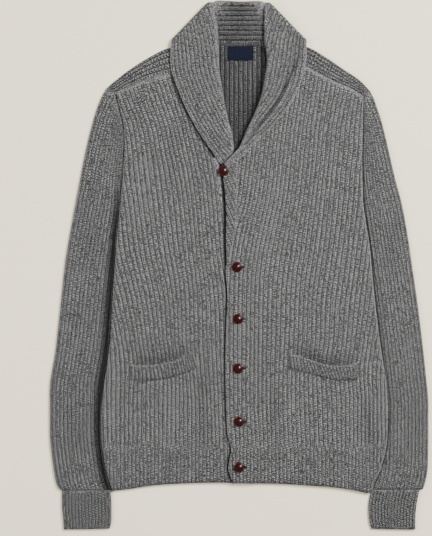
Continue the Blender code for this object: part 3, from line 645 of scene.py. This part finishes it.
cuffs = {
    "right": {"rings": Course((
        (-285, -359.3, -204.5, -358.3), (-285, -382, -203, -382),
        (-283, -406, -203, -406), (-282, -421.5, -206, -420)), True),
        "cut": (0.164, 0.064), **cuffForm},
    "left": {"rings": Course((
        (291, -357.3, 211, -357.3), (286, -382, 206.5, -382),
        (284, -406, 207.5, -406), (284, -421.5, 211, -420)), True),
        "cut": (0.160, 0.064), **cuffForm},
}
tubeForm = {"height": 7.3, "cuffHeight": 6.8, "rows": 90, "cuffRows": 14, "rib": 1.2,
            "wall": 1.5, "perRib": 9, "square": 7, "creviceAt": (0.77, 0.98), "endShade": 0.32}


def foldPart(s):
    # 0 on the outer fold or the seam and 1 on the other fold, on both faces
    return np.where(s < 0.5, s * 2, 2 - s * 2)


def ringPoint(section, part):
    outer, inner = section[:, 0:2], section[:, -2:]
    bend = (outer + inner) / 2 if section.shape[1] == 4 else section[:, 2:4]
    first = lengthOf(bend - outer)
    second = lengthOf(inner - bend)
    reach = part * (first + second)
    near = outer + (bend - outer) * (reach / first)[:, None]
    far = bend + (inner - bend) * ((reach - first) / second)[:, None]
    return np.where((reach < first)[:, None], near, far)


def makeTube(name, tube, rows, height, material, node):
    rings, ribs, inset = tube["rings"], tube["ribs"], tubeForm["rib"]
    middles = (rings.values[:, 0:2] + rings.values[:, -2:]) / 2
    lengths = np.concatenate(([0], np.cumsum(lengthOf(np.diff(middles, axis=0)))))
    length = lengths[-1]

    def ringAt(t):
        ring = rings(np.interp(t, lengths / length, rings.knots))
        return ring, lengthOf(ring[:, 0:2] - ring[:, -2:])

    def base(s, t):
        s = s % 1.0
        part = foldPart(s)
        ring, width = ringAt(t)
        edge = inset / width
        place = ringPoint(ring, edge + part * (1 - 2 * edge))
        bulge = np.sqrt(np.maximum(1 - abs(2 * part - 1) ** tubeForm["square"], 0))
        half = (height - 2 * inset) / 2
        side = 1 - tube["sink"] * ease(0.80, 1.0, part)  # it falls towards the body's side
        level = height / 2 + half * np.where(s < 0.5, bulge * side, -bulge)
        return np.column_stack((place, level))

    def detail(s, t, centre):
        top = np.where(s < 0.5, 1.0, 0.0)
        number = s * ribs + 0.5
        if tube["pitch"]:  # ribs run beside the outer fold
            number = np.where(s < 0.5, 2 * s, 2 * s - 2) * ringAt(t)[1] / tube["pitch"]
        crease = creaseForm(centre[:, 0], centre[:, 1], tube["creases"])
        crease = crease * top * np.sin(s * 2 * math.pi)
        strength = inEnds(t, 2 / length)
        lift = crease + inset * ribForm(number) * strength
        deep = tube["crevice"] * ease(0.06, 0.3, t)  # the gap opens below the armhole
        # painted shade in the crevice beside the body and at the tube's ends, where the ribs run out;
        # painted shade and painted light on the creases
        shade = dimmed(deep * ease(*tubeForm["creviceAt"], foldPart(s)) * top, -0.1 * crease,
                       tubeForm["endShade"] * (1 - strength))
        return lift, number, t * length / cloth["stitch"], strength, shade

    piece = layKnit(name, ribs * tubeForm["perRib"], rows, base, detail, tubeForm["wall"], material,
                    upAt=(0.25, 0.5), closed=True)
    return dress(piece, node)


for side in ("right", "left"):
    sleeve = makeTube(f"sleeve_{side}", sleeves[side], tubeForm["rows"], tubeForm["height"],
                      knitSleeve, f"{side}_sleeve")
    cuff = makeTube(f"cuff_{side}", cuffs[side], tubeForm["cuffRows"], tubeForm["cuffHeight"],
                    knitFine, f"{side}_cuff")
print("sleeves and cuffs laid")

# Saddles

saddles = {
    "right": {"rows": Course((
        (-97.5, 312, -90, 345), (-112, 308, -113, 350), (-142, 301.5, -146, 334),
        (-167, 292.5, -173, 317), (-186, 284.5, -198, 298), (-198.5, 278.5, -215, 283)), True),
        "cut": (0.125, 0.075)},
    "left": {"rows": Course((
        (100, 321.5, 94, 345), (109, 319.5, 109, 352), (139, 304, 141, 334),
        (163, 293, 166, 317), (182, 284.5, 193, 299), (200, 274, 214, 277)), True),
        "cut": (0.120, 0.075)},
}
saddleForm = {"ribs": 9, "perRib": 10, "rows": 28, "rib": 1.3, "strength": 1.1, "wall": 1.5,
              "middle": 3.5, "half": 2.3, "square": 6, "length": 125}


def makeSaddle(side):
    rows = saddles[side]["rows"]

    def base(s, t):
        ring = rows(t * (len(rows.knots) - 1))
        part = foldPart(s)
        seam, fold = ring[:, 0:2], ring[:, 2:4]
        width = lengthOf(fold - seam)
        place = seam + (fold - seam) * (part * (1 - saddleForm["rib"] / width))[:, None]
        bulge = np.sqrt(np.maximum(1 - part ** saddleForm["square"], 0))
        level = saddleForm["middle"] + saddleForm["half"] * np.where(s < 0.5, bulge, -bulge)
        return np.column_stack((place, level))

    def detail(s, t, centre):
        number = s * saddleForm["ribs"] + 0.5
        strength = saddleForm["strength"] * inEnds(s, 0.05) * inEnds(t, 0.04)
        lift = saddleForm["rib"] * ribForm(number) * strength - 0.6 * (1 - ease(0, 0.05, s))
        return lift, number, t * saddleForm["length"] / cloth["stitch"], strength, 1.0

    piece = layKnit(f"saddle_{side}", saddleForm["ribs"] * saddleForm["perRib"], saddleForm["rows"],
                    base, detail, saddleForm["wall"], knitSleeve, upAt=(0.2, 0.5))
    dress(piece, f"{side}_saddle")


for side in ("right", "left"):
    makeSaddle(side)
print("saddles laid")

# Collar, by rows: seam, roll and free edge, the way it turns, its centre, arc and radius,
# where its edges lie and how far they drop, how late its stand rises, and its neck's ribs

turning = (7.2, 3.6, 2, -1.85, -0.1, 4.25, 2.1, 5, 0)
behind = (180, 3.6, 0, 2, -0.4, 2, 0, 0, 8)
collarRun = Course((
    (-37, 168, -14, 175, -27, 162, 0, 8.6, 0, 1.9, -3.6, 0.6, 0, 0, 1, 0),
    (-40, 184, -9, 189, -41, 181, 0, 10, 0, 2.6, -5.3, -0.9, 0, 0, 1, 0),
    (-44, 204, -11, 206, -57, 204, 0, 11.5, 0, 3.5, -6.8, -2.4, 0, 0, 1, 0),
    (-60.8, 241, -20, 241, -79, 241, 0, 13.5, 0, 4.6, -8.8, -4.5, 0, 0, 1, 0),
    (-81.8, 279, -27, 279, -96, 279, 0, 14.5, 0, 5, -9.8, -5.5, 0, 0, 1, 0),
    (-93.5, 319, -33, 324, -109, 318, 0, 14.5, 0, 5, -9.8, -5.4, 0, 0, 1, 0),
    (-90.5, 332, -34, 366, -110, 337, 0, 13, 0, 3.6, -8.3, -3.6, 0, 0, 1.2, 0),
    (-88.5, 341, -42, 416, -108, 357, 0, *turning),
    (-88, 344, -43.5, 418, -106, 358, 45, *turning),
    (-87, 346.5, -43.5, 420, -104.5, 360, 90, *turning),
    (-85.5, 348, -42.5, 421.5, -104, 361, 135, *turning),
    (-83, 349.5, -40.5, 423, -103, 361.5, 180, *turning),
    (-76, 351.5, -34, 425.5, -88, 368, *behind, 0.1),
    (-58, 353.8, -18, 425, -56, 374, *behind, 0.7),
    (2, 354.6, 2, 423.8, 2, 375, *behind, 1),
    (61, 353.8, 19, 424.4, 59, 374, *behind, 0.7),
    (77, 351.5, 33, 424.6, 88, 368, *behind, 0.1),
    (83.5, 349.5, 39.5, 422.5, 103, 361.5, 180, *turning),
    (86, 348, 41.5, 421, 104, 361, 225, *turning),
    (87.5, 346.5, 43, 419.5, 104.5, 360, 270, *turning),
    (89, 344.3, 43.5, 418, 106, 358, 315, *turning),
    (89.8, 341.3, 42, 416, 108, 357, 360, *turning),
    (94, 332, 41, 366, 108, 340, 360, 13, 0, 3.6, -8.3, -3.6, 0, 0, 1.2, 0),
    (97, 321, 45, 330, 106, 320, 360, 15, 0, 5, -10.3, -5.9, 0, 0, 1, 0),
    (86.8, 282, 38, 281, 96, 286, 360, 15, 0, 5, -10.3, -6, 0, 0, 1, 0),
    (65.5, 250, 29, 253, 77, 251, 360, 14, 0, 4.6, -9.3, -5, 0, 0, 1, 0),
    (38.8, 221, 14, 220, 51, 221, 360, 12.8, 0, 3.8, -8, -3.4, 0, 0, 1, 0),
    (20, 203, 8, 206, 33, 205, 360, 12.4, 0, 3, -5, -2, 0, 0, 1, 0),
    (6, 186, 1, 190, 11, 181, 360, 12.4, 0, 2.2, -3, 0, 0, 0, 1, 0),
    (-5, 176, -9, 179, -2, 171.5, 360, 12.7, 0, 1.7, -2.2, 0, 0, 0, 1, 0),
    (-16, 167, -18, 169, -13.5, 162.5, 360, 12.9, 0, 1.4, -1.8, 0, 0, 0, 1, 0),
    (-22, 162.5, -24, 164.5, -20.5, 158.5, 360, 12.4, 0, 1, -1.4, 0, 0, 0, 1, 0)), True)
collarForm = {"pitch": 6.6, "neckPitch": 7.8, "columns": 190, "rib": 1.4, "wall": 1.8,
              "rowLength": 4.6, "turnRows": 4, "soft": 0.96,
              "creaseAt": (21, 22, 23, 24, 25, 26, 27, 28),
              "creasePart": (0.14, 0.18, 0.28, 0.46, 0.55, 0.66, 0.72, 0.8),
              "creaseDepth": (0, 2.6, 5.4, 6.2, 6.0, 4.8, 2.6, 0), "creaseWidth": 4.2}
# strengths of the painted shade on the collar, and of the painted light beside the crease
collarShade = {"stand": 0.34, "seam": 0.25, "crease": 0.42, "beside": 0.12, "fullCrease": 5.6,
               "left": 0.08, "roll": 0.2, "foot": 0.75}


def makeCollar():
    table = collarRun.values
    moved = np.linalg.norm(np.diff(table[:, 0:6], axis=0).reshape(-1, 3, 2), axis=2).max(axis=1)
    weights = np.maximum(moved / collarForm["rowLength"], collarForm["turnRows"])
    passed = np.concatenate(([0], np.cumsum(weights)))
    lengths = np.concatenate(([0], np.cumsum(moved)))
    rows = int(round(passed[-1]))

    def stationOf(t):
        return np.interp(t, passed / passed[-1], range(len(table)))

    def creaseOf(t):
        station = stationOf(t)
        return (np.interp(station, collarForm["creaseAt"], collarForm["creaseDepth"]),
                np.interp(station, collarForm["creaseAt"], collarForm["creasePart"]))

    def unpack(t):
        section = collarRun(stationOf(t))
        seam, roll, free = [np.column_stack((section[:, first:first + 2], np.zeros(len(t))))
                            for first in (0, 2, 4)]
        stand = lengthOf(roll - seam)
        fall = lengthOf(roll - free)
        rise = (roll - seam) / stand[:, None]
        drop = (roll - free) / fall[:, None]
        turn = np.radians(section[:, 6])
        outwards = np.column_stack((-rise[:, 1] * np.sin(turn), rise[:, 0] * np.sin(turn),
                                    np.cos(turn)))
        return section, roll, rise, drop, outwards, stand, fall

    def base(s, t):
        section, roll, rise, drop, outwards, stand, fall = unpack(t)
        centre, arc, radius = section[:, 7], section[:, 8], section[:, 9]
        seamOut, freeOut, seamDrop, freeDrop = section[:, 10:14].T
        late = section[:, 14]
        crease, creasePart = creaseOf(t)
        reach = s * (fall + stand)
        up = np.array((0, 0, 1.0))
        middle = roll + outwards * arc[:, None] + centre[:, None] * up
        part = np.clip(reach / (fall - radius), 0, 1)
        dip = crease * np.exp(-((part - creasePart) * fall / collarForm["creaseWidth"]) ** 2)
        out = freeOut + (radius - freeOut) * ease(0, 1.25, part) / ease(0, 1.25, 1)
        onFall = (middle - drop * (fall - reach)[:, None] + outwards * (out - dip)[:, None]
                  - up * (freeDrop * (1 - part))[:, None])
        angle = math.pi * np.clip((reach - fall + radius) / (2 * radius), 0, 1)
        heading = (rise + drop) / 2
        onRoll = (middle - heading * (radius * (1 - np.sin(angle)))[:, None]
                  + outwards * (radius * np.cos(angle))[:, None])
        part = np.clip((reach - fall - radius) / (stand - radius), 0, 1) ** late
        out = -radius + (seamOut + radius) * part
        onStand = (middle - rise * (reach - fall)[:, None] + outwards * out[:, None]
                   - up * (seamDrop * part)[:, None])
        return np.where((reach < fall - radius)[:, None], onFall,
                        np.where((reach < fall + radius)[:, None], onRoll, onStand))

    def detail(s, t, centre):
        section, _, _, _, _, stand, fall = unpack(t)
        station, neck = stationOf(t), section[:, 15]
        reach = s * (fall + stand)
        fromSeam = fall + stand - reach
        onStand = reach > fall
        number = np.where(onStand, centre[:, 1] / collarForm["neckPitch"],
                          reach / collarForm["pitch"] + 0.5)
        nearRoll = np.exp(-((reach - fall) / 4.0) ** 2)
        strength = np.where(onStand, 0.15 + 0.85 * neck, 1.0) * (1 - 0.8 * nearRoll)
        strength = strength * ease(0, 3, reach) * ease(0, 3, fromSeam)
        along = np.interp(station, range(len(table)), lengths)
        ribs = collarForm["rib"] * ribForm(number) * strength * (1 + 0.3 * neck)
        lift = collarForm["wall"] / 2 + ribs
        lift = np.where(centre[:, 2] < 3.2, np.minimum(lift, centre[:, 2] - 0.1), lift)

        crease, creasePart = creaseOf(t)
        crease = crease / collarShade["fullCrease"]
        off = (reach / (fall - section[:, 9]) - creasePart) * fall
        inCrease = crease * np.exp(-((off - 1) / 3.4) ** 2)
        beside = crease * np.exp(-((off + 11) / 6) ** 2)
        fromFoot = (centre[:, 0] + 18) * 0.74 - (centre[:, 1] - 169) * 0.67
        atFoot = np.exp(-((fromFoot + 1.0) / 2.4) ** 2) * (station < 3)
        # painted shade on the neck's stand and by its seam, in the crease, on the wearer's left lapel,
        # along the roll and at the foot of the wearer's right lapel beside the other lapel's edge;
        # painted light on the band beside the crease
        shade = dimmed(
            collarShade["stand"] * neck * onStand,
            collarShade["seam"] * neck * (1 - ease(0, 4, fromSeam)),
            collarShade["crease"] * inCrease, -collarShade["beside"] * beside,
            collarShade["left"] * ease(19, 22, station), collarShade["roll"] * nearRoll,
            collarShade["foot"] * atFoot)
        soft = collarForm["soft"] + 0.32 * neck * onStand
        return lift, number, along / cloth["stitch"], strength * soft, shade

    piece = layKnit("shawl_collar", collarForm["columns"], rows, base, detail, collarForm["wall"],
                    knitCollar, upAt=(0.25, 0.1))
    dress(piece, "collar")


makeCollar()
print("collar laid")

# The collar's tapered ends

endForm = {"perRib": 10, "rows": 34, "wall": 1.8, "rib": 1.3, "tuck": 2.5,
           "leftPitch": 6.4, "leftSlant": 0.42, "rightPitch": 5.2, "shadow": 0.97}


def makeCollarEnd(side, course, ribs):
    low, high = course.knots[0], course.knots[-1]
    isLeft = side == "left"

    def base(s, t):
        height = low + (high - low) * t
        seam, free = course.one(height, 0), course.one(height, 1)
        seam = seam + (endForm["tuck"] if isLeft else -endForm["tuck"])
        across = free + (seam - free) * s
        lap = lapLift(across) - 0.7 * ease(0.75, 1, s) if isLeft else -0.6 * (1 - ease(0, 0.25, s))
        return flat(across, height, cloth["level"] + lap)

    def detail(s, t, centre):
        across, height = centre[:, 0], centre[:, 1]
        width = abs(course.one(height, 0) - course.one(height, 1))
        if isLeft:
            number = (across + endForm["leftSlant"] * height) / endForm["leftPitch"]
            strength, shade = ease(0, 2, width), 1.0
            edge = -0.9 * np.clip(1 - width * s / 3.5, 0, 1) ** 2
        else:
            number = width * (1 - s) / endForm["rightPitch"] + 0.5
            strength = ease(0, 2, width) * 0.12 * ease(0, 1.5, width * (1 - s))
            shade = 1 - endForm["shadow"] * lapShadow(across - openingEdge(height))
            edge = 0
        lift = endForm["rib"] * ribForm(number) * strength + edge
        return lift, number, height / cloth["stitch"], strength, shade

    piece = layKnit(f"collar_end_{side}", ribs * endForm["perRib"], endForm["rows"], base, detail,
                    endForm["wall"], knitCollar)
    dress(piece, f"{side}_collar_end")
    if piece.data.polygons[0].normal.z < 0:
        piece.data.flip_normals()
    return piece


leftEndPiece = makeCollarEnd("left", leftEnd, 4)
rightEndPiece = makeCollarEnd("right", rightEnd, 6)
print("collar ends laid")

# Pocket welts

welts = {
    "right": {"edge": rightWelt, "cut": (0.110, 0.026), "on": "front_right"},
    "left": {"edge": leftWelt, "cut": (0.116, 0.026), "on": "front_left"},
}
weltForm = {"pitch": 5.1, "perRib": 9, "rows": 14, "rib": 0.9, "wall": 1.5, "strength": 1.14,
            "foot": 7.2, "lift": 2.6, "bow": 0.9, "tall": 26, "stitch": 3.6,
            "footShade": 0.66, "endShade": 0.55, "topShade": 0.3}


def makeWelt(side):
    edge = welts[side]["edge"]
    course = Course(np.column_stack((edge.knots, edge.values)), True)
    length = np.linalg.norm(course.values[-1, 0:2] - course.values[0, 0:2])

    def base(s, t):
        ring = course(s * (len(course.knots) - 1))
        top, foot = ring[:, 0:2], ring[:, 2:4]
        level = weltForm["foot"] + weltForm["lift"] * ease(0, 0.2, t)
        level = level + weltForm["bow"] * np.sin(math.pi * s) * t
        return np.column_stack((foot + (top - foot) * t[:, None], level))

    def detail(s, t, centre):
        number = s * length / weltForm["pitch"]
        strength = ease(0, 0.14, t) * ease(0, 0.12, 1 - t) * inEnds(s, 0.02)
        drop = -0.8 * (1 - ease(0, 0.14, 1 - t)) - 1.6 * (1 - inEnds(s, 0.03))
        lift = weltForm["rib"] * ribForm(number) * strength + drop
        # painted shade along the welt's foot, at its ends and along its top edge
        shade = dimmed(weltForm["footShade"] * (1 - ease(0.02, 0.14, t)),
                       weltForm["endShade"] * (1 - inEnds(s, 0.022)),
                       weltForm["topShade"] * ease(0.86, 1, t))
        return (lift, number, t * weltForm["tall"] / weltForm["stitch"],
                strength * weltForm["strength"], shade)

    columns = round(length / weltForm["pitch"]) * weltForm["perRib"]
    piece = layKnit(f"pocket_welt_{side}", columns, weltForm["rows"], base, detail,
                    weltForm["wall"], knitWelt)
    dress(piece, f"{side}_pocket_welt")


for side in ("right", "left"):
    makeWelt(side)
print("welts laid")

# Label

label = {"left": -18, "right": 23, "foot": 330, "top": 353, "level": 3.9, "wall": 0.5,
         "wave": 0.25, "fold": 0.35, "hemmed": 0.25}


def labelMaterial():
    material, start, shader = startMaterial("navy satin weave")
    laid = start.laid()
    thread = (laid.axis(0) * 4).swing(0.5) + (laid.axis(1) * 4).swing(0.5)
    grain = start.place().noise(900, 2.0)
    colour = (thread * 0.6 + grain * 0.4).tint((0.0012, 0.0020, 0.0068, 1), (0.0046, 0.0072, 0.020, 1))
    plug(start.tree, shader, {
        "Base Color": colour, "Roughness": 0.75 + grain * 0.2, "Specular IOR Level": 0.15,
        "Normal": thread.bump(0.5, 0.0002)})
    return material


def makeLabel():
    wide, tall = label["right"] - label["left"], label["top"] - label["foot"]

    def base(s, t):
        return flat(label["left"] + wide * s, label["foot"] + tall * t, label["level"])

    def detail(s, t, centre):
        wave = label["wave"] * ribForm(backNumber(centre[:, 0]))
        fold = label["fold"] * (1 - ease(0, 1.6, np.minimum(s, 1 - s) * wide))
        hemmed = label["hemmed"] * (1 - ease(0, 0.9, np.minimum(t, 1 - t) * tall))
        return wave + fold - hemmed, s * wide, t * tall, 1.0, 1.0

    piece = layKnit("woven_label", 64, 36, base, detail, label["wall"], labelMaterial())
    dress(piece, "neck_label")


makeLabel()
print("label laid")

# Buttons

button = {
    "radius": 8.3, "seat": 9.9, "shank": 2.2, "steps": 64, "lapFoot": 6.1,
    "rim": (2.2, 1.4),
    # in from the rim, and up from the seat
    "outline": ((2.6, 0.05), (1.0, 0.5), (0.25, 1.2), (0, 2.1), (0.12, 2.8), (0.55, 3.3),
                (1.15, 3.45), (1.6, 3.3), (2, 3.5), (2.9, 4.5), (4.2, 5.3), (5.9, 5.9),
                (7.2, 6.15), (8.3, 6.2)),
}


def buttonMaterial():
    material, start, shader = startMaterial("polished dark red brown")
    grain = start.place().noise(190, 4.0, 0.6, 1.4)
    deep = grain.tint((0.006, 0.0008, 0.0006, 1), (0.030, 0.0034, 0.0026, 1))
    colour = (start.attribute("rim") * 0.7).tint(deep, (0.045, 0.007, 0.005, 1))
    plug(start.tree, shader, {
        "Base Color": colour, "Roughness": 0.16 + grain * 0.14, "Coat Weight": 0.18,
        "Coat Roughness": 0.06, "Specular IOR Level": 0.22, "Normal": grain.bump(0.12, 0.0004)})
    return material


buttonFinish = buttonMaterial()


def makeButton(count, across, height):
    radius, seat, shank = button["radius"], button["seat"], button["shank"]
    foot = seat - 0.15 if count == 1 else button["lapFoot"]
    outline = [(0, foot), (shank, foot), (shank, seat + 0.3)]
    outline += [(radius - inwards, seat + up) for inwards, up in button["outline"]]
    form = bmesh.new()
    points = [form.verts.new((x * mm, 0, z * mm)) for x, z in outline]
    edges = [form.edges.new(pair) for pair in zip(points, points[1:])]
    bmesh.ops.spin(form, geom=points + edges, cent=(0, 0, 0), axis=(0, 0, 1), angle=2 * math.pi,
                   steps=button["steps"], use_merge=True, use_duplicate=False)
    bmesh.ops.remove_doubles(form, verts=form.verts, dist=0.000005)
    bmesh.ops.recalc_face_normals(form, faces=form.faces)
    rimLayer = form.verts.layers.float.new("rim")
    for vert in form.verts:
        reach = math.hypot(vert.co.x, vert.co.y) * 1000
        vert[rimLayer] = float(ease(*[radius - inwards for inwards in button["rim"]], reach))
    bmesh.ops.translate(form, verts=form.verts, vec=(across * mm, height * mm, 0))
    piece = makePiece(f"domed_button_{count}", form, buttonFinish)
    dress(piece, f"button_{count}")


for count, (across, height) in enumerate(buttonPlaces, 1):
    makeButton(count, across, height)
print("buttons set")

# Floor, light and camera

stage = {
    "floor": (0.88, 0.805, 0.61, 1), "floorRough": 0.85, "floorSize": 4, "floorLevel": -0.2,
    "view": (-36.8, -2.4, 2608), "tall": 857.6, "away": 2600, "sensor": 24, "farthest": 20,
    "lamp": (1.0, 0.985, 0.96), "sky": (1.0, 0.99, 0.975, 1), "skyStrength": 0.34,
    # name, place, size and power
    "lamps": (("key", (1.55, 1.05, 2.3), 1.3, 195), ("fill", (-2.1, -0.4, 1.9), 2.0, 72)),
}


def makeStage():
    form = bmesh.new()
    bmesh.ops.create_grid(form, x_segments=1, y_segments=1, size=stage["floorSize"])
    bmesh.ops.translate(form, verts=form.verts, vec=(0, 0, stage["floorLevel"] * mm))
    material, start, shader = startMaterial("pale floor")
    plug(start.tree, shader, {"Base Color": stage["floor"], "Roughness": stage["floorRough"]})
    makePiece("floor", form, material)

    for name, place, size, power in stage["lamps"]:
        lamp = bpy.data.lights.new(name, "AREA")
        lamp.shape = "DISK"
        lamp.size = size
        lamp.energy = power
        lamp.color = stage["lamp"]
        light = link(name, lamp)
        light.location = place
        light.rotation_euler = (-light.location).to_track_quat("-Z", "Y").to_euler()
        light.visible_glossy = name == "key"

    world = bpy.data.worlds.new("studio")
    world.use_nodes = True
    sky = world.node_tree.nodes["Background"]
    sky.inputs["Color"].default_value = stage["sky"]
    sky.inputs["Strength"].default_value = stage["skyStrength"]
    bpy.context.scene.world = world

    lens = bpy.data.cameras.new("camera")
    lens.sensor_fit = "VERTICAL"
    lens.sensor_height = stage["sensor"]
    lens.lens = stage["sensor"] * stage["away"] / stage["tall"]
    lens.clip_end = stage["farthest"]
    camera = link("camera", lens)
    camera.location = [number * mm for number in stage["view"]]
    bpy.context.scene.camera = camera


makeStage()
print("stage set")
